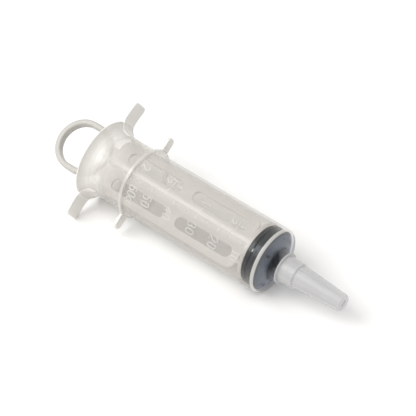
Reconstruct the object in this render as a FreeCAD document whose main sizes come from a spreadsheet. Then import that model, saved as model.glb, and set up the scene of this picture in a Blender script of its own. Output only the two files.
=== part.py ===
import FreeCAD, Part
import math
import os
import Sketcher

# Piston irrigation syringe, 60 ml, catheter nozzle, thumb ring plunger.
#
# Each piece is drawn in a frame of its own whose X axis is the syringe's axis,
# pointing from the thumb ring to the nozzle.  The last section lays the syringe
# down as it comes to rest: on the rear rim, on the tip of the lower wing and on
# the front shoulder of the barrel.  All sizes are millimetres and degrees.

os.makedirs("parts", exist_ok=True)
doc = FreeCAD.newDocument("piston_irrigation_syringe")
V = FreeCAD.Vector

# ---------------------------------------------------------------- dimensions
SIZES = [
    # barrel, measured along the axis from a plane through the edge of the rim
    ("core_start", 3.0), ("core_radius", 10.0), ("core_end", 100.0),
    ("rim_rear", 0.3), ("rim_radius", 20.9), ("rim_side", 20.6), ("rim_round", 0.3), ("rim_thick", 0.3),
    ("crease_start", 4.2), ("crease_radius", 16.9), ("crease_end", 4.35), ("crease_foot", 16.78),
    ("flare_end", 6.3), ("flare_bend", 5.0), ("sleeve_radius", 16.52), ("sleeve_end", 7.7),
    ("tube_radius", 16.4), ("bore_radius", 15.2),
    ("collar_rear", 24.2), ("collar_rear_top", 24.5), ("collar_front_top", 25.6), ("collar_front", 25.9),
    ("collar_radius", 18.2), ("collar_side", 17.9), ("collar_round", 0.3),
    ("shoulder_start", 102.9), ("shoulder_end", 105.3), ("shoulder_foot", 14.0), ("shoulder_bend", 2.4),
    ("root_start", 107.1), ("root_radius", 7.2), ("root_end", 110.1), ("root_nose", 6.8),
    ("nozzle_base", 5.0), ("nozzle_straight", 139.2), ("nozzle_side", 2.56), ("nozzle_round", 0.8),
    ("nozzle_end", 140.0), ("nozzle_face", 1.76),
    ("mouth_open", 1.5), ("mouth_radius", 19.9), ("mouth_lip", 0.5), ("mouth_end", 5.9), ("mouth_bend", 5.2),
    ("bore_end", 103.2), ("corner_end", 104.0), ("corner_radius", 14.4), ("corner_bend", 0.8),
    ("lumen_start", 107.2), ("lumen_base", 2.7), ("lumen_tip", 1.45), ("lumen_exit", 141.0),
    # the bar that makes both big finger wings
    ("wing_width", 11.4), ("wing_proud", 0.95), ("wing_bow_start", 24.0), ("wing_blank", 32.4),
    ("wing_tip_back", 0.25), ("wing_back_bend", 30.0), ("wing_tip_front", 1.45), ("wing_front_bend", 58.4852),
    ("wing_front", 0.64), ("wing_bend_start", 22.7), ("wing_bend", 6.3), ("wing_bend_end", 6.94),
    ("wing_root_end", 8.04), ("wing_foot", 15.7), ("wing_reach", 31.9),
    ("wing_half", 5.7), ("wing_corner", 2.6), ("wing_corner_line", 3.1), ("wing_corner_start", 29.3),
    ("wing_outside", 34.0), ("wing_round", 0.5),
    # the bar that makes both small wings
    ("tab_rear", 24.0), ("tab_thick", 1.6), ("tab_half", 3.0), ("tab_corner_start", 22.9), ("tab_corner", 2.5),
    ("tab_corner_line", 0.5), ("tab_reach", 25.4), ("tab_round", 0.5),
    ("gusset_width", 5.0), ("gusset_rear", 24.4), ("gusset_front", 25.3), ("gusset_bend_start", 19.2),
    ("gusset_bend", 2.9), ("gusset_bend_end", 28.2), ("gusset_root_end", 28.6), ("gusset_foot", 15.9),
    # plunger, measured from the rear of the thumb ring
    ("ring_radius", 13.6), ("ring_inner", 10.65), ("ring_rear_centre", 14.05), ("ring_front_centre", 17.55),
    ("ring_width", 4.8), ("ring_round", 1.0),
    ("foot_start", 27.154), ("foot_half", 8.0), ("foot_bend", 12.5), ("foot_end", 33.0),
    ("web_thick", 1.6), ("web_start", 33.0), ("web_half", 13.9), ("web_end", 117.7), ("web_corner", 4.0),
    ("web_corner_end", 37.0), ("web_corner_start", 113.7), ("web_corner_half", 9.9),
    ("slot_half", 3.05), ("slot_inner", 4.3), ("slot_outer", 10.4),
    ("slot_a_start", 42.85), ("slot_a_end", 70.15), ("slot_b_start", 82.85), ("slot_b_end", 110.35),
    ("spine_thick", 1.6), ("spine_half", 13.9), ("spine_end", 124.0),
    ("neck_start", 117.0), ("neck_half", 5.5),
    ("head_rear", 123.7), ("head_front", 125.7), ("head_radius", 14.7),
    ("neck_radius", 5.0), ("button_rear", 127.8), ("button_radius", 8.0), ("button_edge", 129.8),
    ("button_front", 130.8), ("button_nose", 7.0),
    # stopper, measured from its rear face
    ("stopper_rear_radius", 14.6), ("rib_radius", 15.15), ("rib_a_start", 0.4), ("rib_a_end", 1.9),
    ("waist_start", 2.5), ("waist_radius", 14.3), ("waist_end", 4.2), ("rib_b_start", 4.8), ("rib_b_end", 6.2),
    ("nose_start", 6.6), ("nose_radius", 14.3), ("face_start", 7.0), ("face_radius", 13.8), ("face_centre", 10.2),
    ("socket_mouth", 5.08), ("socket_start", 1.82), ("socket_radius", 8.08), ("socket_edge", 3.98),
    ("socket_end", 4.98), ("socket_nose", 7.08),
    ("nub_radius", 0.6), ("nub_place", 11.6), ("nub_start", 6.0), ("nub_height", 1.85),
    # tip cap, measured from the rear face of its flange
    ("cap_flange_edge", 0.3), ("cap_flange_side", 0.5), ("cap_flange", 0.8), ("cap_flange_radius", 7.95),
    ("cap_flange_face", 7.65), ("cap_flange_round", 0.3),
    ("cap_sleeve_base", 6.5), ("cap_sleeve_end", 8.4), ("cap_sleeve_nose", 6.35), ("cap_step", 8.8),
    ("cap_step_radius", 5.95), ("cap_body_start", 9.2), ("cap_body_base", 5.65), ("cap_body_end", 33.75),
    ("cap_body_nose", 3.95), ("cap_end_round", 0.45), ("cap_end", 34.2), ("cap_end_face", 3.5),
    ("cap_dimple_radius", 1.8), ("cap_dimple_depth", 33.3), ("cap_dimple_floor", 1.5),
    ("cap_mouth_lip", 6.1), ("cap_mouth_lip_end", 0.5), ("cap_mouth", 5.85), ("cap_hollow_end", 8.0),
    ("cap_hollow_radius", 5.6), ("cap_inner_base", 4.75), ("cap_inner_end", 31.8), ("cap_inner_nose", 2.9),
    ("cap_rib_start", 8.6), ("cap_rib_end", 33.3), ("cap_rib_width", 1.05), ("cap_rib_foot", 5.3),
    ("cap_rib_foot_end", 3.5), ("cap_rib_base", 5.95), ("cap_rib_nose", 4.2), ("cap_ribs", 8),
    ("cap_fin_start", 1.0), ("cap_fin_end", 8.2), ("cap_fin_width", 0.9), ("cap_fin_base", 4.98),
    ("cap_fin_nose", 4.38), ("cap_fin_top", 6.2), ("cap_fin_turn", 8.3), ("cap_fins", 6),
    # how the syringe lies and how its pieces are turned about the axis
    ("lie_roll", -57.69), ("lie_tilt", 2.51), ("lie_x", -57.917), ("lie_y", 0.0), ("lie_z", 20.891),
    ("plunger_offset", -29.2), ("plunger_turn", -4.6), ("stopper_offset", 96.7), ("stopper_turn", 12.8),
    ("cap_offset", 110.4), ("cap_turn", 12.5), ("nubs", 4),
]
N = dict(SIZES)

sheet = doc.addObject("Spreadsheet::Sheet", "sizes")
for row, (alias, value) in enumerate(SIZES, start=1):
    sheet.set("A%d" % row, alias)
    sheet.set("B%d" % row, repr(value))
    sheet.setAlias("B%d" % row, alias)
doc.recompute()


def size(name):
    """A cell's number; a leading minus sign turns it round and None is zero."""
    if name is None:
        return 0.0
    return -N[name[1:]] if name.startswith("-") else N[name]


def plane(body, role):
    """One of the body's own origin planes or axes."""
    for feature in body.Origin.OriginFeatures:
        if feature.Role == role:
            return feature
    raise RuntimeError("no plane " + role)


def new_body(name):
    body = doc.addObject("PartDesign::Body", name)
    body.Label = name
    return body


def new_sketch(body, name, role, turn=None, along=None):
    """A sketch on an origin plane, turned about its own X axis or moved along its normal if asked."""
    sketch = body.newObject("Sketcher::SketchObject", name)
    sketch.AttachmentSupport = [(plane(body, role), "")]
    sketch.MapMode = "FlatFace"
    if turn is not None:
        sketch.AttachmentOffset = FreeCAD.Placement(V(0, 0, 0), FreeCAD.Rotation(V(1, 0, 0), size(turn)))
    if along is not None:
        sketch.AttachmentOffset = FreeCAD.Placement(V(0, 0, size(along)), FreeCAD.Rotation())
        sketch.setExpression("AttachmentOffset.Base.z", "sizes." + along)
    return sketch


def same(a, b):
    return (a - b).Length < 1e-6


def outline(sketch, points):
    """Close a loop of straight lines and arcs.

    Each point is (x, y, bend), x and y named as in size().  bend is None where a
    straight side leads to the next point, or (radius, side) for an arc, where
    side +1 bulges to the left of the way to the next point and -1 to the right.
    """
    number = len(points)
    xy = [V(size(p[0]), size(p[1]), 0) for p in points]
    first = sketch.GeometryCount
    for i, point in enumerate(points):
        start, end = xy[i], xy[(i + 1) % number]
        if point[2] is None:
            sketch.addGeometry(Part.LineSegment(start, end), False)
        else:
            radius, side = N[point[2][0]], point[2][1]
            chord = end - start
            half = chord.Length / 2
            left = V(-chord.y, chord.x, 0).normalize()
            centre = (start + end) * 0.5 - left * (side * math.sqrt(max(radius * radius - half * half, 0.0)))
            # arcs run anticlockwise, so one that bulges to the left starts at its far end
            first_end, other_end = (end, start) if side > 0 else (start, end)
            angles = [math.atan2(q.y - centre.y, q.x - centre.x) for q in (first_end, other_end)]
            if angles[1] <= angles[0]:
                angles[1] += 2 * math.pi
            sketch.addGeometry(Part.ArcOfCircle(Part.Circle(centre, V(0, 0, 1), radius), *angles), False)
    for i in range(number):
        here, after = first + i, first + (i + 1) % number
        joint = xy[(i + 1) % number]
        end_pos = 2 if same(sketch.Geometry[here].EndPoint, joint) else 1
        start_pos = 1 if same(sketch.Geometry[after].StartPoint, joint) else 2
        sketch.addConstraint(Sketcher.Constraint("Coincident", here, end_pos, after, start_pos))
    for i, point in enumerate(points):
        here = first + i
        pos = 1 if same(sketch.Geometry[here].StartPoint, xy[i]) else 2
        for kind, name, line in (("DistanceX", point[0], -2), ("DistanceY", point[1], -1)):
            if name is None:
                sketch.addConstraint(Sketcher.Constraint("PointOnObject", here, pos, line))
            elif name.startswith("-"):
                c = sketch.addConstraint(Sketcher.Constraint(kind, here, pos, -1, 1, N[name[1:]]))
                sketch.setExpression("Constraints[%d]" % c, "sizes." + name[1:])
            else:
                c = sketch.addConstraint(Sketcher.Constraint(kind, -1, 1, here, pos, N[name]))
                sketch.setExpression("Constraints[%d]" % c, "sizes." + name)
        if point[2] is not None and (xy[(i + 1) % number] - xy[i]).Length > 1.999 * N[point[2][0]]:
            # a half circle: its centre lies between its ends
            c = sketch.addConstraint(Sketcher.Constraint("DistanceX", -1, 1, here, 3, N[point[0]]))
            sketch.setExpression("Constraints[%d]" % c, "sizes." + point[0])
        elif point[2] is not None:
            c = sketch.addConstraint(Sketcher.Constraint("Radius", here, N[point[2][0]]))
            sketch.setExpression("Constraints[%d]" % c, "sizes." + point[2][0])


def stadium(sketch, start, end, low, high, radius):
    """A long hole with round ends: straight sides from start to end at low and high."""
    outline(sketch, [(start, low, None), (end, low, (radius, -1)), (end, high, None), (start, high, (radius, -1))])


def revolve(body, sketch, name, cut=False, refine=True):
    feature = body.newObject("PartDesign::Groove" if cut else "PartDesign::Revolution", name)
    feature.Refine = refine
    feature.Profile = (sketch, [""])
    feature.ReferenceAxis = (sketch, ["H_Axis"])
    feature.Angle = 360.0
    doc.recompute()
    return feature


def pad(body, sketch, name, alias, both=True):
    """A pad of the given width, half on each side of the sketch unless told otherwise."""
    feature = body.newObject("PartDesign::Pad", name)
    feature.Profile = (sketch, [""])
    feature.Length = N[alias]
    if both:
        feature.SideType = "Symmetric"
    feature.setExpression("Length", "sizes." + alias)
    doc.recompute()
    return feature


def pocket(body, sketch, name):
    """A hole right through, to both sides of the sketch."""
    feature = body.newObject("PartDesign::Pocket", name)
    feature.Profile = (sketch, [""])
    feature.SideType = "Symmetric"
    feature.Type = "ThroughAll"
    doc.recompute()
    return feature


def polar(body, originals, name, alias):
    feature = body.newObject("PartDesign::PolarPattern", name)
    feature.Originals = originals
    feature.Axis = (plane(body, "X_Axis"), [""])
    feature.Angle = 360.0
    feature.Occurrences = int(N[alias])
    feature.setExpression("Occurrences", "sizes." + alias)
    body.Tip = feature
    doc.recompute()
    return feature


def fillet(body, base, name, alias, test):
    """Round the edges of the last feature for which test(edge, faces beside it) is true."""
    shape = base.Shape
    names = ["Edge%d" % (i + 1) for i, edge in enumerate(shape.Edges)
             if test(edge, shape.ancestorsOfType(edge, Part.Face))]
    if not names:
        raise RuntimeError("no edges for " + name)
    feature = body.newObject("PartDesign::Fillet", name)
    feature.Base = (base, names)
    feature.Radius = N[alias]
    feature.setExpression("Radius", "sizes." + alias)
    doc.recompute()
    return feature


def across(face):
    """True for a plane or cylinder that runs square to the X axis's side: its rulings follow Y."""
    surface = face.Surface
    if isinstance(surface, Part.Cylinder):
        return abs(surface.Axis.y) > 0.99
    if isinstance(surface, Part.Plane):
        return abs(surface.Axis.x) > 0.99
    return False


# -------------------------------------------------------------------- barrel
barrel = new_body("barrel")

# a core that joins the wings while they are drawn; the bore takes it out again
s = new_sketch(barrel, "core_outline", "XY_Plane")
outline(s, [("core_start", None, None), ("core_start", "core_radius", None), ("core_end", "core_radius", None),
            ("core_end", None, None)])
revolve(barrel, s, "core")

# big finger wings: one bar right across, leaning forward at its tips
s = new_sketch(barrel, "wing_profile", "XZ_Plane")
outline(s, [
    ("-wing_proud", "wing_bow_start", ("wing_back_bend", 1)), ("wing_tip_back", "wing_blank", None),
    ("wing_tip_front", "wing_blank", ("wing_front_bend", -1)), ("wing_front", "wing_bend_start", ("wing_bend", -1)),
    ("wing_bend_end", "tube_radius", None), ("wing_root_end", "wing_foot", None),
    ("wing_root_end", "-wing_foot", None), ("wing_bend_end", "-tube_radius", ("wing_bend", -1)),
    ("wing_front", "-wing_bend_start", ("wing_front_bend", -1)), ("wing_tip_front", "-wing_blank", None),
    ("wing_tip_back", "-wing_blank", ("wing_back_bend", 1)), ("-wing_proud", "-wing_bow_start", None)])
pad(barrel, s, "wing_bar", "wing_width")

# the round corners of both tips
s = new_sketch(barrel, "wing_corner_profile", "YZ_Plane")
outline(s, [
    ("wing_half", "wing_corner_start", ("wing_corner", -1)), ("wing_corner_line", "wing_reach", None),
    ("-wing_corner_line", "wing_reach", ("wing_corner", -1)), ("-wing_half", "wing_corner_start", None),
    ("-wing_outside", "wing_corner_start", None), ("-wing_outside", "wing_outside", None),
    ("wing_outside", "wing_outside", None), ("wing_outside", "wing_corner_start", None)])
outline(s, [
    ("wing_half", "-wing_corner_start", ("wing_corner", 1)), ("wing_corner_line", "-wing_reach", None),
    ("-wing_corner_line", "-wing_reach", ("wing_corner", 1)), ("-wing_half", "-wing_corner_start", None),
    ("-wing_outside", "-wing_corner_start", None), ("-wing_outside", "-wing_outside", None),
    ("wing_outside", "-wing_outside", None), ("wing_outside", "-wing_corner_start", None)])
last = pocket(barrel, s, "wing_corners")

# soft edges of the wings
last = fillet(barrel, last, "wing_edges", "wing_round",
              lambda e, f: len(f) == 2 and across(f[0]) != across(f[1])
              and max(abs(e.BoundBox.ZMin), abs(e.BoundBox.ZMax)) > N["wing_foot"] + 1)

# small wings: a flat bar with round ends just behind the collar's front, and a gusset in front of each
s = new_sketch(barrel, "tab_plan", "YZ_Plane", along="tab_rear")
outline(s, [
    ("tab_half", "tab_corner_start", ("tab_corner", -1)), ("tab_corner_line", "tab_reach", None),
    ("-tab_corner_line", "tab_reach", ("tab_corner", -1)), ("-tab_half", "tab_corner_start", None),
    ("-tab_half", "-tab_corner_start", ("tab_corner", -1)), ("-tab_corner_line", "-tab_reach", None),
    ("tab_corner_line", "-tab_reach", ("tab_corner", -1)), ("tab_half", "-tab_corner_start", None)])
last = pad(barrel, s, "tab_bar", "tab_thick", both=False)
last = fillet(barrel, last, "tab_edges", "tab_round",
              lambda e, f: len(f) == 2 and across(f[0]) != across(f[1])
              and e.BoundBox.XMin > N["tab_rear"] - 0.01 and e.BoundBox.XMax < N["tab_rear"] + N["tab_thick"] + 0.01
              and max(abs(e.BoundBox.ZMin), abs(e.BoundBox.ZMax)) > N["core_radius"] + 1)

for side, turn in (("upper", ""), ("lower", "-")):
    s = new_sketch(barrel, side + "_gusset_profile", "XZ_Plane")
    bulge = -1 if turn == "" else 1
    outline(s, [
        ("gusset_rear", turn + "gusset_foot", None), ("gusset_rear", turn + "gusset_bend_start", None),
        ("gusset_front", turn + "gusset_bend_start", ("gusset_bend", bulge)),
        ("gusset_bend_end", turn + "tube_radius", None), ("gusset_root_end", turn + "gusset_foot", None)])
    pad(barrel, s, side + "_gusset", "gusset_width")

# outside of the moulding, filled: rim, flare, tube, collar, shoulder, nozzle
s = new_sketch(barrel, "barrel_outside", "XY_Plane")
outline(s, [
    ("-rim_rear", None, None), ("-rim_rear", "rim_side", ("rim_round", 1)), (None, "rim_radius", None),
    ("rim_thick", "rim_radius", ("flare_bend", -1)), ("crease_start", "crease_radius", None),
    ("crease_end", "crease_foot", None), ("flare_end", "sleeve_radius", None),
    ("sleeve_end", "sleeve_radius", None), ("sleeve_end", "tube_radius", None),
    ("collar_rear", "tube_radius", None), ("collar_rear", "collar_side", ("collar_round", 1)),
    ("collar_rear_top", "collar_radius", None), ("collar_front_top", "collar_radius", ("collar_round", 1)),
    ("collar_front", "collar_side", None), ("collar_front", "tube_radius", None),
    ("shoulder_start", "tube_radius", ("shoulder_bend", 1)), ("shoulder_end", "shoulder_foot", None),
    ("root_start", "root_radius", None), ("root_end", "root_nose", None), ("root_end", "nozzle_base", None),
    ("nozzle_straight", "nozzle_side", ("nozzle_round", 1)), ("nozzle_end", "nozzle_face", None),
    ("nozzle_end", None, None)])
revolve(barrel, s, "barrel_body", refine=False)

# inside: flared mouth, bore, front wall and the tapering passage in the nozzle
s = new_sketch(barrel, "barrel_inside", "XY_Plane")
outline(s, [
    ("-mouth_open", None, None), ("-mouth_open", "mouth_radius", None),
    ("mouth_lip", "mouth_radius", ("mouth_bend", -1)), ("mouth_end", "bore_radius", None),
    ("bore_end", "bore_radius", ("corner_bend", 1)), ("corner_end", "corner_radius", None),
    ("lumen_start", "lumen_base", None), ("lumen_exit", "lumen_tip", None), ("lumen_exit", None, None)])
revolve(barrel, s, "barrel_bore", cut=True, refine=False)

# ------------------------------------------------------------------- plunger
plunger = new_body("plunger")

# thumb ring, a long oval in the plane of the rod
s = new_sketch(plunger, "ring_outside", "XZ_Plane")
stadium(s, "ring_rear_centre", "ring_front_centre", "-ring_radius", "ring_radius", "ring_radius")
pad(plunger, s, "ring", "ring_width")
s = new_sketch(plunger, "ring_inside", "XZ_Plane")
stadium(s, "ring_rear_centre", "ring_front_centre", "-ring_inner", "ring_inner", "ring_inner")
last = pocket(plunger, s, "ring_hole")
last = fillet(plunger, last, "ring_edges", "ring_round",
              lambda e, f: abs(e.BoundBox.YMax - e.BoundBox.YMin) < 0.01)

# flat web of the rod with four round-ended windows
s = new_sketch(plunger, "foot_plan", "XZ_Plane")
outline(s, [
    ("foot_start", "-foot_half", ("foot_bend", -1)), ("foot_start", "foot_half", None),
    ("foot_end", "foot_half", None), ("foot_end", "-foot_half", None)])
pad(plunger, s, "foot", "web_thick")
s = new_sketch(plunger, "web_plan", "XZ_Plane")
outline(s, [
    ("web_start", "-web_corner_half", None), ("web_start", "web_corner_half", ("web_corner", 1)),
    ("web_corner_end", "web_half", None), ("web_corner_start", "web_half", ("web_corner", 1)),
    ("web_end", "web_corner_half", None), ("web_end", "-web_corner_half", ("web_corner", 1)),
    ("web_corner_start", "-web_half", None), ("web_corner_end", "-web_half", ("web_corner", 1))])
for part_ in ("a", "b"):
    begin, finish = "slot_%s_start" % part_, "slot_%s_end" % part_
    stadium(s, begin, finish, "slot_inner", "slot_outer", "slot_half")
    stadium(s, begin, finish, "-slot_outer", "-slot_inner", "slot_half")
pad(plunger, s, "web", "web_thick")

# cross rib, square to the web, and the neck of the web behind the front disc
s = new_sketch(plunger, "spine_plan", "XY_Plane")
outline(s, [
    ("web_start", "-spine_half", None), ("web_start", "spine_half", None),
    ("spine_end", "spine_half", None), ("spine_end", "-spine_half", None)])
pad(plunger, s, "spine", "spine_thick")
s = new_sketch(plunger, "neck_plan", "XZ_Plane")
outline(s, [
    ("neck_start", "-neck_half", None), ("neck_start", "neck_half", None),
    ("spine_end", "neck_half", None), ("spine_end", "-neck_half", None)])
pad(plunger, s, "web_neck", "web_thick")

# front disc with the neck and button that the stopper turns on
s = new_sketch(plunger, "head_outline", "XY_Plane")
outline(s, [
    ("head_rear", None, None), ("head_rear", "head_radius", None), ("head_front", "head_radius", None),
    ("head_front", "neck_radius", None), ("button_rear", "neck_radius", None),
    ("button_rear", "button_radius", None), ("button_edge", "button_radius", None),
    ("button_front", "button_nose", None), ("button_front", None, None)])
revolve(plunger, s, "head")

# ------------------------------------------------------------------- stopper
stopper = new_body("stopper")
s = new_sketch(stopper, "stopper_outside", "XY_Plane")
outline(s, [
    (None, None, None), (None, "stopper_rear_radius", None), ("rib_a_start", "rib_radius", None),
    ("rib_a_end", "rib_radius", None), ("waist_start", "waist_radius", None), ("waist_end", "waist_radius", None),
    ("rib_b_start", "rib_radius", None), ("rib_b_end", "rib_radius", None), ("nose_start", "nose_radius", None),
    ("face_start", "face_radius", None), ("face_centre", None, None)])
revolve(stopper, s, "stopper_body")
s = new_sketch(stopper, "socket", "XY_Plane")
outline(s, [
    (None, None, None), (None, "socket_mouth", None), ("socket_start", "socket_mouth", None),
    ("socket_start", "socket_radius", None), ("socket_edge", "socket_radius", None),
    ("socket_end", "socket_nose", None), ("socket_end", None, None)])
revolve(stopper, s, "stopper_socket", cut=True)

# four small nubs that keep the front face off the barrel's front wall
s = new_sketch(stopper, "nub_plan", "YZ_Plane", along="nub_start")
g = s.addGeometry(Part.Circle(V(0, N["nub_place"], 0), V(0, 0, 1), N["nub_radius"]), False)
s.addConstraint(Sketcher.Constraint("PointOnObject", g, 3, -2))
c = s.addConstraint(Sketcher.Constraint("DistanceY", -1, 1, g, 3, N["nub_place"]))
s.setExpression("Constraints[%d]" % c, "sizes.nub_place")
c = s.addConstraint(Sketcher.Constraint("Radius", g, N["nub_radius"]))
s.setExpression("Constraints[%d]" % c, "sizes.nub_radius")
nub = pad(stopper, s, "nub", "nub_height", both=False)
polar(stopper, [nub], "nub_ring", "nubs")

# ------------------------------------------------------------------- tip cap
tip_cap = new_body("tip_cap")
s = new_sketch(tip_cap, "cap_outside", "XY_Plane")
outline(s, [
    (None, None, None), (None, "cap_flange_face", ("cap_flange_round", 1)),
    ("cap_flange_edge", "cap_flange_radius", None), ("cap_flange_side", "cap_flange_radius", ("cap_flange_round", 1)),
    ("cap_flange", "cap_flange_face", None), ("cap_flange", "cap_sleeve_base", None),
    ("cap_sleeve_end", "cap_sleeve_nose", None), ("cap_step", "cap_step_radius", None),
    ("cap_body_start", "cap_body_base", None),
    ("cap_body_end", "cap_body_nose", ("cap_end_round", 1)), ("cap_end", "cap_end_face", None),
    ("cap_end", "cap_dimple_radius", None), ("cap_dimple_depth", "cap_dimple_floor", None),
    ("cap_dimple_depth", None, None)])
revolve(tip_cap, s, "cap_body")
s = new_sketch(tip_cap, "cap_rib_profile", "XZ_Plane")
outline(s, [
    ("cap_rib_start", "cap_rib_foot", None), ("cap_rib_start", "cap_rib_base", None),
    ("cap_rib_end", "cap_rib_nose", None), ("cap_rib_end", "cap_rib_foot_end", None)])
rib = pad(tip_cap, s, "cap_rib", "cap_rib_width")
polar(tip_cap, [rib], "cap_rib_ring", "cap_ribs")
s = new_sketch(tip_cap, "cap_inside", "XY_Plane")
outline(s, [
    (None, None, None), (None, "cap_mouth_lip", None), ("cap_mouth_lip_end", "cap_mouth", None),
    ("cap_hollow_end", "cap_hollow_radius", None), ("cap_hollow_end", "cap_inner_base", None),
    ("cap_inner_end", "cap_inner_nose", None), ("cap_inner_end", None, None)])
revolve(tip_cap, s, "cap_hollow", cut=True)
s = new_sketch(tip_cap, "cap_fin_profile", "XZ_Plane", turn="-cap_fin_turn")
outline(s, [
    ("cap_fin_start", "cap_fin_base", None), ("cap_fin_start", "cap_fin_top", None),
    ("cap_fin_end", "cap_fin_top", None), ("cap_fin_end", "cap_fin_nose", None)])
fin = pad(tip_cap, s, "cap_fin", "cap_fin_width")
polar(tip_cap, [fin], "cap_fin_ring", "cap_fins")

# ------------------------------------------------------------ lay it down
lie = FreeCAD.Placement(V(N["lie_x"], N["lie_y"], N["lie_z"]),
                        FreeCAD.Rotation(V(0, 1, 0), N["lie_tilt"]).multiply(
                            FreeCAD.Rotation(V(1, 0, 0), N["lie_roll"])))
for body, offset, turn in ((barrel, None, None), (plunger, "plunger_offset", "plunger_turn"),
                           (stopper, "stopper_offset", "stopper_turn"), (tip_cap, "cap_offset", "cap_turn")):
    own = FreeCAD.Placement(V(size(offset), 0, 0), FreeCAD.Rotation(V(1, 0, 0), size(turn)))
    body.Placement = lie.multiply(own)
doc.recompute()

# ------------------------------------------------------------- check and write
for thing in doc.Objects:
    if "Invalid" in thing.State or "Error" in thing.State:
        raise RuntimeError("%s is in error: %s" % (thing.Name, thing.State))
    if thing.TypeId == "Sketcher::SketchObject":
        if thing.solve() != 0:
            raise RuntimeError("sketch %s does not solve" % thing.Name)
    if thing.TypeId == "PartDesign::Body" and (thing.Shape.isNull() or not thing.Shape.isValid()):
        raise RuntimeError("%s has no valid shape" % thing.Name)
for body in (barrel, plunger, stopper, tip_cap):
    shape = body.Shape
    if len(shape.Solids) != 1:
        raise RuntimeError("%s is not one solid: %d" % (body.Label, len(shape.Solids)))
    box = shape.BoundBox
    print("%-8s volume %.1f box %.2f %.2f %.2f  %.2f %.2f %.2f" % (
        body.Label, shape.Volume, box.XMin, box.YMin, box.ZMin, box.XMax, box.YMax, box.ZMax))
    shape.exportStep("parts/%s.step" % body.Label)
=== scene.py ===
import bpy
import math
from mathutils import Matrix, Vector


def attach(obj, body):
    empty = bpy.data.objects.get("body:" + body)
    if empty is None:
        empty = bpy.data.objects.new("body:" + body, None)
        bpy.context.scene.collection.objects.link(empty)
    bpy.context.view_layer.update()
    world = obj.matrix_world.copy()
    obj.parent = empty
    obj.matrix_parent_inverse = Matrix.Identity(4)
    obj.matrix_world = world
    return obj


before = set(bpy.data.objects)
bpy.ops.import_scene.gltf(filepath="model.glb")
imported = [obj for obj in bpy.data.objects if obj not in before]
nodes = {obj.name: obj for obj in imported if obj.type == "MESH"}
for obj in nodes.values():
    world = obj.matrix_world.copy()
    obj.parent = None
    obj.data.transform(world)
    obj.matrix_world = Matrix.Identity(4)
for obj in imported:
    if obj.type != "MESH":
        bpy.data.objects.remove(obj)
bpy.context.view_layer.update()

# ---------------------------------------------------------------------------
# The syringe's own axes, as the CAD lays it down.  Millimetres along the axis
# are counted from the rear face of the barrel's rim, towards the nozzle.
# ---------------------------------------------------------------------------
TILT = math.radians(2.51)
ROLL = math.radians(-57.69)
START = Vector((-57.917, 0.0, 20.891))
TURN = Matrix.Rotation(TILT, 3, "Y") @ Matrix.Rotation(ROLL, 3, "X")
AXIS = TURN @ Vector((1, 0, 0))
SIDE = TURN @ Vector((0, 1, 0))
WING = TURN @ Vector((0, 0, 1))


def around(angle):
    """Unit vector square to the axis.  0 faces the viewer's side, growing away from the raised wing (degrees)."""
    t = math.radians(-(angle + 2.8))
    return -math.cos(t) * SIDE + math.sin(t) * WING


def on_barrel(along, angle, radius):
    return (START + AXIS * along + around(angle) * radius) * 0.001


# ---------------------------------------------------------------------------
# Materials
# ---------------------------------------------------------------------------
def material(name):
    m = bpy.data.materials.new(name)
    m.use_nodes = True
    tree = m.node_tree
    return m, tree, tree.nodes, tree.links, tree.nodes["Principled BSDF"]


def coords(nodes_, links_, scale):
    tex = nodes_.new("ShaderNodeTexCoord")
    mapping = nodes_.new("ShaderNodeMapping")
    mapping.inputs["Scale"].default_value = scale
    links_.new(tex.outputs["Object"], mapping.inputs["Vector"])
    return mapping.outputs["Vector"]


def noise(nodes_, links_, vector, scale, detail=2.0, rough=0.5):
    n = nodes_.new("ShaderNodeTexNoise")
    n.inputs["Scale"].default_value = scale
    n.inputs["Detail"].default_value = detail
    n.inputs["Roughness"].default_value = rough
    links_.new(vector, n.inputs["Vector"])
    return n.outputs["Fac"]


def ramp(nodes_, links_, fac, stops):
    r = nodes_.new("ShaderNodeValToRGB")
    cr = r.color_ramp
    while len(cr.elements) < len(stops):
        cr.elements.new(0.5)
    for element, (place, colour) in zip(cr.elements, stops):
        element.position = place
        element.color = (*colour, 1.0) if len(colour) == 3 else colour
    links_.new(fac, r.inputs["Fac"])
    return r.outputs["Color"]


def span(nodes_, links_, value, low, high):
    m = nodes_.new("ShaderNodeMapRange")
    m.inputs["From Min"].default_value = 0.3
    m.inputs["From Max"].default_value = 0.7
    m.inputs["To Min"].default_value = low
    m.inputs["To Max"].default_value = high
    links_.new(value, m.inputs["Value"])
    return m.outputs["Result"]


def bump(nodes_, links_, height, strength, distance, normal_in):
    b = nodes_.new("ShaderNodeBump")
    b.inputs["Strength"].default_value = strength
    b.inputs["Distance"].default_value = distance
    links_.new(height, b.inputs["Height"])
    links_.new(b.outputs["Normal"], normal_in)


def math_node(n, l, op, a, b=None, clamp=False):
    m = n.new("ShaderNodeMath")
    m.operation = op
    m.use_clamp = clamp
    for k, v in enumerate((a, b)):
        if v is None:
            continue
        if isinstance(v, (int, float)):
            m.inputs[k].default_value = v
        else:
            l.new(v, m.inputs[k])
    return m.outputs[0]


def smooth(n, l, value, start, end):
    """0 below start, 1 above end, smooth between."""
    m = n.new("ShaderNodeMapRange")
    m.interpolation_type = "SMOOTHSTEP"
    m.inputs["From Min"].default_value = start
    m.inputs["From Max"].default_value = end
    l.new(value, m.inputs["Value"])
    return m.outputs["Result"]


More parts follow.
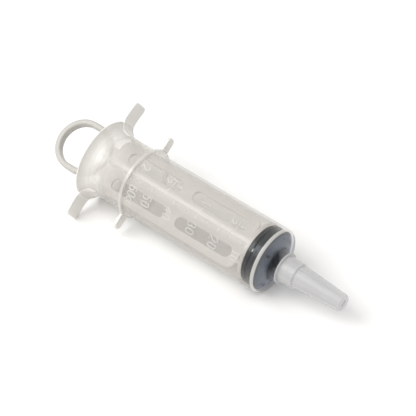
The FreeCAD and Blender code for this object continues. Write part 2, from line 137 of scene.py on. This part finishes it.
def off_axis(n, l):
    """Distance along the syringe's axis, and the vector out from it, in millimetres."""
    tex = n.new("ShaderNodeTexCoord")
    scale = n.new("ShaderNodeVectorMath")
    scale.operation = "SCALE"
    scale.inputs["Scale"].default_value = 1000.0
    l.new(tex.outputs["Object"], scale.inputs[0])
    shift = n.new("ShaderNodeVectorMath")
    shift.operation = "SUBTRACT"
    shift.inputs[1].default_value = START
    l.new(scale.outputs[0], shift.inputs[0])
    dot = n.new("ShaderNodeVectorMath")
    dot.operation = "DOT_PRODUCT"
    dot.inputs[1].default_value = AXIS
    l.new(shift.outputs[0], dot.inputs[0])
    back = n.new("ShaderNodeVectorMath")
    back.operation = "SCALE"
    back.inputs[0].default_value = AXIS
    l.new(dot.outputs["Value"], back.inputs["Scale"])
    out = n.new("ShaderNodeVectorMath")
    out.operation = "SUBTRACT"
    l.new(shift.outputs[0], out.inputs[0])
    l.new(back.outputs[0], out.inputs[1])
    return dot.outputs["Value"], out.outputs[0]


def place_on_axis(n, l):
    """Distance along the syringe's axis and out from it, in millimetres."""
    along, out = off_axis(n, l)
    size = n.new("ShaderNodeVectorMath")
    size.operation = "LENGTH"
    l.new(out, size.inputs[0])
    return along, size.outputs["Value"]


def nub_spots(n, l):
    """1 where one of the stopper's four nubs presses on the front wall, elsewhere 0."""
    along, out = off_axis(n, l)
    total = None
    for centre in (SIDE * 11.6, SIDE * -11.6, WING * 11.6, WING * -11.6):
        gap = n.new("ShaderNodeVectorMath")
        gap.operation = "DISTANCE"
        gap.inputs[1].default_value = centre
        l.new(out, gap.inputs[0])
        spot = math_node(n, l, "SUBTRACT", 1.0, smooth(n, l, gap.outputs["Value"], 0.7, 1.0))
        total = spot if total is None else math_node(n, l, "MAXIMUM", total, spot)
    return total


def cloudy(name, low, high, rough, ior, cover, edge, wavy=0.06, thick=None, second=None,
           matt=None):
    """Natural polypropylene: clear where the wall is thin, milky where it is thick or seen along its skin.

    cover is how much of the skin hides what is behind it, edge how much more it hides at a grazing angle,
    and thick a function that adds cover from the place on the syringe.  second is a mask by place and the two
    tones used there, and matt a function that adds roughness from the place.
    """
    m, tree, n, l, p = material(name)
    cloud = noise(n, l, coords(n, l, (55.0, 55.0, 55.0)), 1.0, 3.0)
    if second is None:
        l.new(ramp(n, l, cloud, [(0.3, low), (0.7, high)]), p.inputs["Base Color"])
    else:
        mask, low2, high2 = second
        tone = plus(n, l, math_node(n, l, "MULTIPLY", cloud, 0.4), inside(n, l, mask(n, l), 0.6))
        l.new(ramp(n, l, tone, [(0.12, low), (0.28, high), (0.72, low2), (0.88, high2)]), p.inputs["Base Color"])
    grain = span(n, l, noise(n, l, coords(n, l, (420.0, 420.0, 420.0)), 1.0, 2.0), rough[0], rough[1])
    if matt is not None:
        grain = plus(n, l, grain, matt(n, l))
    l.new(grain, p.inputs["Roughness"])
    bump(n, l, noise(n, l, coords(n, l, (90.0, 90.0, 90.0)), 1.0, 1.0), wavy, 0.0004, p.inputs["Normal"])
    p.inputs["IOR"].default_value = ior
    clear = n.new("ShaderNodeBsdfTransparent")
    clear.inputs["Color"].default_value = (0.965, 0.959, 0.952, 1.0)
    mix = n.new("ShaderNodeMixShader")
    layer = n.new("ShaderNodeLayerWeight")
    layer.inputs["Blend"].default_value = 0.5
    fac = math_node(n, l, "MULTIPLY", math_node(n, l, "POWER", layer.outputs["Facing"], 3.0), edge)
    fac = math_node(n, l, "ADD", fac, math_node(n, l, "MULTIPLY", cloud, 0.03))
    if thick is not None:
        fac = math_node(n, l, "ADD", fac, thick(n, l))
    else:
        fac = math_node(n, l, "ADD", fac, cover)
    fac = math_node(n, l, "MINIMUM", fac, 1.0, clamp=True)
    l.new(fac, mix.inputs["Fac"])
    l.new(clear.outputs[0], mix.inputs[1])
    l.new(p.outputs[0], mix.inputs[2])
    l.new(mix.outputs[0], n["Material Output"].inputs["Surface"])
    return m


def inside(n, l, *terms):
    """Product of masks."""
    total = terms[0]
    for term in terms[1:]:
        total = math_node(n, l, "MULTIPLY", total, term)
    return total


def plus(n, l, *terms):
    total = terms[0]
    for term in terms[1:]:
        total = math_node(n, l, "ADD", total, term)
    return total


def barrel_thick(n, l):
    """How milky the barrel is: the wings, rim, collar and nozzle are solid, the tube is a thin wall."""
    along, out = place_on_axis(n, l)
    # thin wall: hazy over the rod, wetted clear by the rubber where the stopper rests against it
    haze = math_node(n, l, "SUBTRACT", 0.20, inside(n, l, smooth(n, l, along, 95.8, 96.6), 0.19))
    wings = inside(n, l, smooth(n, l, out, 20.4, 21.4), 0.60)
    bell = inside(n, l, math_node(n, l, "SUBTRACT", 1.0, smooth(n, l, along, 5.0, 13.0)), 0.36)
    flare = inside(n, l, smooth(n, l, out, 16.5, 17.2), 0.10)
    collar = inside(n, l, smooth(n, l, out, 16.6, 17.2), smooth(n, l, along, 20.0, 22.0), 0.14)
    tabs = inside(n, l, smooth(n, l, out, 18.2, 18.8), smooth(n, l, along, 20.0, 22.0), 0.40)
    corner = inside(n, l, smooth(n, l, along, 102.9, 103.3), smooth(n, l, out, 15.5, 15.9), 0.60)
    wall = inside(n, l, smooth(n, l, along, 104.0, 105.0), 0.10)
    # the front wall is clearer at the nozzle's root and where the nubs touch it
    front = inside(n, l, smooth(n, l, along, 103.2, 103.8),
                   math_node(n, l, "SUBTRACT", 1.0, smooth(n, l, along, 109.6, 110.2)))
    root = inside(n, l, math_node(n, l, "SUBTRACT", 1.0, smooth(n, l, out, 8.4, 9.0)), 0.58)
    touch = inside(n, l, front, math_node(n, l, "MAXIMUM", nub_spots(n, l), root), -0.20)
    nozzle = inside(n, l, smooth(n, l, along, 110.2, 111.0), 0.35)
    return plus(n, l, haze, bell, wings, flare, collar, tabs, corner, wall, touch, nozzle)


def over_rubber(n, l):
    """The front wall inside its thick corner, where a thin milky skin over black looks blue-grey."""
    along, out = place_on_axis(n, l)
    middle = math_node(n, l, "SUBTRACT", 1.0, smooth(n, l, out, 14.9, 15.5))
    front = math_node(n, l, "SUBTRACT", 1.0, smooth(n, l, along, 107.5, 109.5))
    return inside(n, l, smooth(n, l, along, 103.6, 104.4), front, middle)


def bell_matt(n, l):
    along, out = place_on_axis(n, l)
    return inside(n, l, math_node(n, l, "SUBTRACT", 1.0, smooth(n, l, along, 12.0, 25.0)), 0.16)


def ring_painted_light_tone(n, l):
    """The thumb ring and the end of the web outside the barrel, painted darker than the rod inside the barrel. This
    is painted light and shade: the ring is darkened because the lamps light it directly, and the rod inside is
    painted lighter to make up for the shade under the barrel's haze.
    """
    along, out = place_on_axis(n, l)
    return math_node(n, l, "SUBTRACT", 1.0, smooth(n, l, along, -1.0, 6.0))


barrel_plastic = cloudy("barrel_polypropylene", (0.735, 0.71, 0.67), (0.775, 0.75, 0.71), (0.17, 0.22), 1.9,
                        0.07, 0.40, wavy=0.015, thick=barrel_thick,
                        second=(over_rubber, (0.54, 0.60, 0.72), (0.58, 0.64, 0.76)), matt=bell_matt)
# the rod's two tones are painted light and shade: a lighter tone inside the barrel offsets the shade through the
# haze, and a darker tone on the directly lit thumb ring
plunger_plastic = cloudy("plunger_polypropylene", (0.685, 0.665, 0.635), (0.725, 0.705, 0.675), (0.30, 0.38), 1.49,
                         0.86, 0.12, second=(ring_painted_light_tone, (0.51, 0.49, 0.455), (0.55, 0.53, 0.495)))
cap_plastic = cloudy("cap_polypropylene", (0.65, 0.65, 0.655), (0.69, 0.69, 0.695), (0.26, 0.34), 1.49,
                     0.50, 0.25)

rubber, tree, n, l, p = material("stopper_rubber")
l.new(ramp(n, l, noise(n, l, coords(n, l, (120.0, 120.0, 120.0)), 1.0, 4.0),
           [(0.3, (0.010, 0.012, 0.016)), (0.7, (0.016, 0.019, 0.024))]), p.inputs["Base Color"])
l.new(span(n, l, noise(n, l, coords(n, l, (500.0, 500.0, 500.0)), 1.0, 3.0), 0.18, 0.26), p.inputs["Roughness"])
bump(n, l, noise(n, l, coords(n, l, (700.0, 700.0, 700.0)), 1.0, 3.0), 0.06, 0.0001, p.inputs["Normal"])
p.inputs["IOR"].default_value = 1.48
p.inputs["Specular Tint"].default_value = (0.80, 0.90, 1.0, 1.0)


def paint(node, mat):
    obj = nodes[node]
    if not obj.material_slots:
        obj.data.materials.append(mat)
    for s in obj.material_slots:
        s.material = mat


paint("barrel", barrel_plastic)
paint("plunger", plunger_plastic)
paint("stopper", rubber)
paint("tip_cap", cap_plastic)

# ---------------------------------------------------------------------------
# Raised graduations and numerals, moulded on the outside of the barrel
# ---------------------------------------------------------------------------
TUBE = 16.4


def arc(cx, cy, rx, ry, start, end, steps=14):
    return [(cx + rx * math.cos(math.radians(start + (end - start) * i / steps)),
             cy + ry * math.sin(math.radians(start + (end - start) * i / steps))) for i in range(steps + 1)]


# strokes in a box one wide and one high; a stroke that ends where it starts is closed
GLYPHS = {
    "0": [arc(0.5, 0.68, 0.46, 0.32, 0, 180) + arc(0.5, 0.32, 0.46, 0.32, 180, 360) + [(0.96, 0.68)]],
    "1": [[(0.26, 0.80), (0.42, 0.86), (0.56, 1.0), (0.56, 0.0)]],
    "2": [arc(0.5, 0.69, 0.44, 0.31, 165, -35) + [(0.62, 0.36), (0.22, 0.16), (0.04, 0.0), (0.97, 0.0)]],
    "3": [arc(0.48, 0.755, 0.40, 0.245, 160, -90) + arc(0.48, 0.26, 0.46, 0.26, 80, -160)],
    "4": [[(0.72, 0.0), (0.72, 1.0), (0.02, 0.30), (0.98, 0.30)]],
    "5": [[(0.90, 1.0), (0.20, 1.0), (0.12, 0.55)] + arc(0.48, 0.33, 0.45, 0.33, 140, -155)],
    "6": [[(0.84, 0.95), (0.60, 1.0)] + arc(0.56, 0.50, 0.50, 0.50, 100, 180, 8)
          + arc(0.51, 0.31, 0.46, 0.31, 180, 540, 24)],
    "c": [arc(0.5, 0.31, 0.46, 0.31, 48, 312)],
    "-": [[(0.0, 0.5), (1.0, 0.5)]],
}

verts, faces = [], []


def stroke(path, half, height):
    """A low rounded ridge along a path of (along, angle) points on the tube."""
    closed = (abs(path[0][0] - path[-1][0]) < 1e-6 and abs(path[0][1] - path[-1][1]) < 1e-6)
    flat = [(a, math.radians(ang) * TUBE) for a, ang in path]
    if closed:
        flat = flat[:-1]
    count = len(flat)
    # ridge section: distance across, and height above the tube
    section = [(-half, -0.12), (-half, 0.35 * height), (-0.62 * half, 0.86 * height), (0.0, height),
               (0.62 * half, 0.86 * height), (half, 0.35 * height), (half, -0.12)]
    rings = []
    for i in range(count):
        before = flat[i - 1] if (i > 0 or closed) else flat[i]
        after = flat[(i + 1) % count] if (i < count - 1 or closed) else flat[i]
        d1 = (flat[i][0] - before[0], flat[i][1] - before[1])
        d2 = (after[0] - flat[i][0], after[1] - flat[i][1])
        u1 = math.hypot(*d1) or 1.0
        u2 = math.hypot(*d2) or 1.0
        t = (d1[0] / u1 + d2[0] / u2, d1[1] / u1 + d2[1] / u2)
        size = math.hypot(*t)
        if size < 1e-6:
            t, size = d2, u2
        t = (t[0] / size, t[1] / size)
        side = (-t[1], t[0])
        # widen the joint so that the ridge keeps its width round a corner
        first = d1 if u1 > 1e-9 and (i > 0 or closed) else d2
        f = math.hypot(*first) or 1.0
        cosine = abs(t[0] * first[0] / f + t[1] * first[1] / f)
        grow = 1.0 / max(cosine, 0.5)
        ring = []
        for off, up in section:
            a = flat[i][0] + side[0] * off * grow
            s = flat[i][1] + side[1] * off * grow
            ring.append(len(verts))
            verts.append(on_barrel(a, math.degrees(s / TUBE), TUBE + up))
        rings.append(ring)
    pairs = [(i, (i + 1) % count) for i in range(count if closed else count - 1)]
    wide = len(section)
    for i, j in pairs:
        for k in range(wide):
            k2 = (k + 1) % wide
            faces.append((rings[i][k], rings[i][k2], rings[j][k2], rings[j][k]))
    if not closed:
        faces.append(tuple(reversed(rings[0])))
        faces.append(tuple(rings[-1]))


def write(char, along, angle, width, height, half=0.21, rise=0.26):
    """One glyph, its middle at (along, angle).  Its top points to the nozzle; it reads away from the raised wing."""
    for path in GLYPHS[char]:
        if char in "c":
            mapped = [(along + (y - 0.31) * height / 0.62, angle + math.degrees((x - 0.5) * width / TUBE))
                      for x, y in path]
        else:
            mapped = [(along + (y - 0.5) * height, angle + math.degrees((x - 0.5) * width / TUBE)) for x, y in path]
        stroke(mapped, half, rise)


# cubic centimetre side: a tick every 5, longer every 10
for k in range(1, 13):
    along = 106.4 - 6.72 * k
    if k == 12:
        along = 26.35
    stroke([(along, -1.0), (along, 7.0 if k % 2 == 0 else 5.0)], 0.22, 0.24)
# ounce side: a tick every half ounce
for along in (26.6, 46.65, 66.96, 86.9):
    stroke([(along, -17.0), (along, -8.0)], 0.22, 0.24)

write("6", 30.0, 15.8, 2.4, 4.6)
write("0", 30.0, 26.6, 2.4, 4.6)
write("c", 29.2, 36.6, 1.9, 2.9)
write("c", 29.2, 45.2, 1.9, 2.9)
for pair, along, first, second in (("50", 38.8, 17.2, 29.6), ("40", 51.9, 17.2, 29.0), ("30", 66.1, 17.2, 29.4),
                                   ("20", 79.5, 19.0, 31.0), ("10", 92.9, 19.0, 30.4)):
    write(pair[0], along, first, 2.4, 4.6)
    write(pair[1], along, second, 2.4, 4.6)
write("2", 29.6, -25.0, 2.4, 4.6)
write("1", 47.2, -33.7, 2.2, 4.6)
write("1", 50.2, -25.6, 1.7, 2.8, 0.19)
write("-", 47.0, -26.0, 2.3, 1.0, 0.18)
write("2", 43.8, -26.0, 1.7, 2.8, 0.19)
write("1", 67.0, -24.4, 2.2, 4.6)
write("1", 89.7, -22.2, 1.7, 2.8, 0.19)
write("-", 86.7, -22.6, 2.3, 1.0, 0.18)
write("2", 83.7, -22.6, 1.7, 2.8, 0.19)

mesh = bpy.data.meshes.new("graduations")
mesh.from_pydata([tuple(v) for v in verts], [], faces)
mesh.validate()
marks = bpy.data.objects.new("graduations", mesh)
bpy.context.scene.collection.objects.link(marks)
import bmesh
bm = bmesh.new()
bm.from_mesh(mesh)
bmesh.ops.recalc_face_normals(bm, faces=bm.faces)
bm.to_mesh(mesh)
bm.free()
for poly in mesh.polygons:
    poly.use_smooth = True
marks_plastic = cloudy("marks_polypropylene", (0.90, 0.89, 0.87), (0.93, 0.92, 0.90), (0.20, 0.28), 1.5,
                       0.45, 0.3)
mesh.materials.append(marks_plastic)
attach(marks, "barrel_body")

# ---------------------------------------------------------------------------
# Floor, light and camera
# ---------------------------------------------------------------------------
bpy.ops.mesh.primitive_plane_add(size=6.0, location=(0, 0, -0.0001))
floor = bpy.context.object
floor.name = "floor"
floor_mat, tree, n, l, p = material("pale_floor")
p.inputs["Base Color"].default_value = (0.90, 0.895, 0.885, 1)
p.inputs["Roughness"].default_value = 0.85
p.inputs["Specular IOR Level"].default_value = 0.15
floor.data.materials.append(floor_mat)

# camera axes in the row frame: x right, y down, z forward, from the view of the photograph
V_CAM = Vector((0.76904, 0.45927, -0.44457))
C_CAM = Vector((-0.37812, -0.23390, -0.89572))
M_CAM = Vector((-0.51537, 0.85695, -0.00622))
P0_CAM = Vector((-48.66, -22.66, 910.46)) * 1.025
c_row, m_row = around(0.0), around(90.0)
# each camera axis is a sum of the three known directions
cols = []
for k in range(3):
    cols.append(AXIS * V_CAM[k] + c_row * C_CAM[k] + m_row * M_CAM[k])
right, down, forward = cols
forward.normalize()
right = (right - forward * right.dot(forward)).normalized()
down = forward.cross(right)
place = START - (right * P0_CAM[0] + down * P0_CAM[1] + forward * P0_CAM[2])
cam_data = bpy.data.cameras.new("camera")
cam_data.sensor_width = 36.0
cam_data.sensor_fit = "HORIZONTAL"
cam_data.lens = 1924.19 / 416.0 * 36.0
cam_data.clip_start = 0.01
cam_data.clip_end = 20.0
cam = bpy.data.objects.new("camera", cam_data)
bpy.context.scene.collection.objects.link(cam)
cam.matrix_world = Matrix((
    (right.x, -down.x, -forward.x, place.x * 0.001),
    (right.y, -down.y, -forward.y, place.y * 0.001),
    (right.z, -down.z, -forward.z, place.z * 0.001),
    (0, 0, 0, 1)))
bpy.context.scene.camera = cam

MIDDLE = (START + AXIS * 52.0) * 0.001


def area(name, direction, distance, wide, high, power, colour=(1, 1, 1), along=None):
    """A soft rectangular light that faces the middle of the syringe; its width lies along a given direction."""
    light = bpy.data.lights.new(name, "AREA")
    light.shape = "RECTANGLE"
    light.size = wide
    light.size_y = high
    light.energy = power
    light.color = colour
    obj = bpy.data.objects.new(name, light)
    bpy.context.scene.collection.objects.link(obj)
    d = direction.normalized()
    x = (along or Vector((1, 0, 0)))
    x = (x - d * x.dot(d)).normalized()
    y = d.cross(x)
    where = MIDDLE + d * distance
    obj.matrix_world = Matrix(((x.x, y.x, d.x, where.x), (x.y, y.y, d.y, where.y), (x.z, y.z, d.z, where.z),
                               (0, 0, 0, 1)))
    return obj


# where the long highlight on the tube looks to
to_camera = (place * 0.001 - MIDDLE).normalized()


def mirror(angle):
    normal = around(angle)
    return (2 * normal.dot(to_camera)) * normal - to_camera


area("softbox", mirror(-2.5), 0.95, 0.75, 0.56, 4.6, along=AXIS)
area("overhead", Vector((0.1, -0.45, 1.0)), 1.4, 1.2, 1.2, 5.5)

world = bpy.data.worlds.new("studio")
bpy.context.scene.world = world
world.use_nodes = True
bg = world.node_tree.nodes["Background"]
bg.inputs["Color"].default_value = (1.0, 1.0, 1.0, 1)
bg.inputs["Strength"].default_value = 0.74

bpy.context.scene.view_settings.view_transform = "Standard"
bpy.context.scene.view_settings.look = "None"
